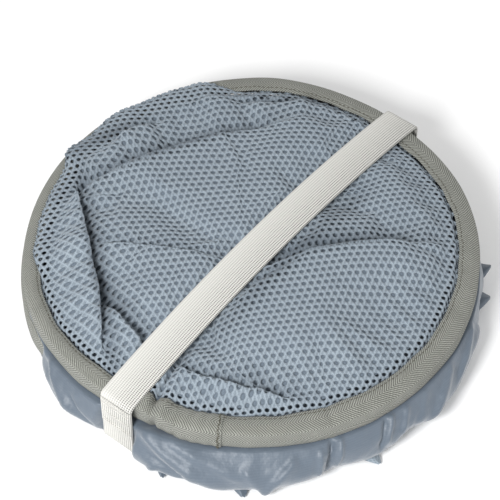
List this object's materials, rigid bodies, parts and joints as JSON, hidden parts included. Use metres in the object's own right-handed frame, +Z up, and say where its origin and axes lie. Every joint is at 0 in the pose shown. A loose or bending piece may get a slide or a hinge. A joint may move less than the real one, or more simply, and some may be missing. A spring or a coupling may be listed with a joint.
{
  "type": "folding crab trap",
  "caption": "Round folding net trap stored flat: taped spring-wire hoops, slack mesh crown and base, bulging taffeta wall, elastic band round the stack.",
  "frame": {"origin": "centre of the base hoop's underside, where the folded trap rests", "axes": "+Z up through the stack of hoops; the retaining band runs 51.5 degrees anticlockwise from +X, 12.5 mm to the front right of the centre; the side nearest the viewer is -Y"},
  "size_m": [0.32, 0.32, 0.0629],
  "materials": {
    "spring_steel": "drawn spring wire",
    "crimp_sleeve": "crimped satin",
    "binding_tape": "twill binding tape, olive grey",
    "air_mesh": "knitted hole mesh, blue grey",
    "taffeta": "plain-weave taffeta, satin sheen, blue grey",
    "elastic": "woven ribbed elastic, off-white",
    "thread": "polyester sewing thread"
  },
  "bodies": {
    "base": {"base_binding": "binding_tape", "base_binding_lap": "binding_tape", "base_hoop_wire": "spring_steel", "base_wire_ferrule": "crimp_sleeve", "base_stitching": "thread", "base_mesh": "air_mesh"},
    "middle_hoop": {"middle_binding": "binding_tape", "middle_binding_lap": "binding_tape", "middle_hoop_wire": "spring_steel", "middle_wire_ferrule": "crimp_sleeve", "middle_stitching": "thread", "lower_wall": "taffeta", "lower_wall_seam": "taffeta"},
    "top_hoop": {"top_binding": "binding_tape", "top_binding_lap": "binding_tape", "top_hoop_wire": "spring_steel", "top_wire_ferrule": "crimp_sleeve", "top_stitching": "thread", "crown_mesh": "air_mesh", "upper_wall": "taffeta", "upper_wall_seam": "taffeta"},
    "band": {"retaining_band": "elastic", "band_lap": "elastic", "band_bar_tacks": "thread"}
  },
  "joints": [
    {"name": "middle_lift", "type": "slide", "parent": "base", "child": "middle_hoop", "axis": [0, 0, 1], "range_m": [0, 0.11], "deforming": ["lower_wall", "lower_wall_seam"]},
    {"name": "top_lift", "type": "slide", "parent": "middle_hoop", "child": "top_hoop", "axis": [0, 0, 1], "range_m": [0, 0.11], "deforming": ["upper_wall", "upper_wall_seam"]},
    {"name": "band_slide", "type": "slide", "parent": "base", "child": "band", "axis": [0.7826, -0.6225, 0], "range_m": [0, 0.188], "deforming": ["retaining_band"]}
  ],
  "couplings": [
    {"joint": "top_lift", "follows": "middle_lift", "ratio": 1},
    {"joint": "band_slide", "follows": "middle_lift", "ratio": 1.7}
  ]
}
